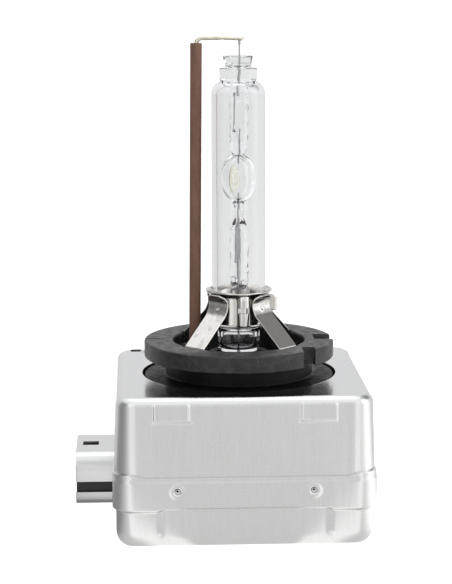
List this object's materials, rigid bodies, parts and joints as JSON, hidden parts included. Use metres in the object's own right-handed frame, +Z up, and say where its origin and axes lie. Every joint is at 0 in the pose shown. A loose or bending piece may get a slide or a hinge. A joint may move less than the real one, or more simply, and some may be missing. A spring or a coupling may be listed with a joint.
{
  "type": "headlight bulb",
  "caption": "Gas-discharge headlight bulb: tall clear burner and ceramic return tube on a round black keyed cap, above a square aluminium igniter box with a side plug.",
  "frame": {"origin": "centre of the cap ring's top face, on the burner's axis", "axes": "+Z up along the burner, -Y towards the box's front, -X out of the plug"},
  "size_m": [0.0496, 0.0432, 0.0814],
  "materials": {
    "envelope_glass": "clear, smooth",
    "quartz": "clear, smooth",
    "halide": "thin pale yellow film",
    "tungsten": "dark, drawn",
    "molybdenum": "satin grey",
    "brown_ceramic": "matte, unglazed",
    "nickel": "bright drawn wire",
    "spring_steel": "bright rolled strip",
    "cap_plastic": "black, glass-filled, satin",
    "cover_sheet": "drawn sheet, fine vertical grain",
    "tray_sheet": "drawn sheet, fine vertical grain",
    "plug_plastic": "black, moulded",
    "tinned_brass": "tin plated",
    "case_plastic": "dark grey, moulded",
    "ferrite": "ground, dark grey",
    "bobbin_plastic": "natural, moulded",
    "copper_wire": "enamelled wire",
    "copper_strip": "bare strip",
    "capacitor_shell": "moulded",
    "white_ceramic": "unglazed",
    "resistor_coat": "lacquered"
  },
  "bodies": {
    "root": {"outer_envelope": "envelope_glass", "arc_tube": "quartz", "halide_deposit": "halide", "upper_electrode": "tungsten", "lower_electrode": "tungsten", "upper_foil": "molybdenum", "lower_foil": "molybdenum", "upper_lead": "molybdenum", "lower_lead": "molybdenum", "ceramic_tube": "brown_ceramic", "return_wire": "nickel", "clamp_band": "spring_steel", "spring_leg_1": "spring_steel", "spring_leg_2": "spring_steel", "spring_leg_3": "spring_steel", "spring_leg_4": "spring_steel", "cap_housing": "cap_plastic", "upper_cover": "cover_sheet", "lower_tray": "tray_sheet", "connector_shield": "cover_sheet", "connector_insert": "plug_plastic", "contact_pins": "tinned_brass", "igniter_case": "case_plastic", "transformer_core": "ferrite", "transformer_bobbin": "bobbin_plastic", "secondary_winding": "copper_wire", "primary_winding": "copper_strip", "capacitor": "capacitor_shell", "spark_gap_body": "white_ceramic", "spark_gap_electrodes": "nickel", "bleeder_resistors": "resistor_coat", "lead_frame": "tinned_brass", "hv_contact": "tinned_brass", "return_contact": "tinned_brass"}
  },
  "joints": []
}
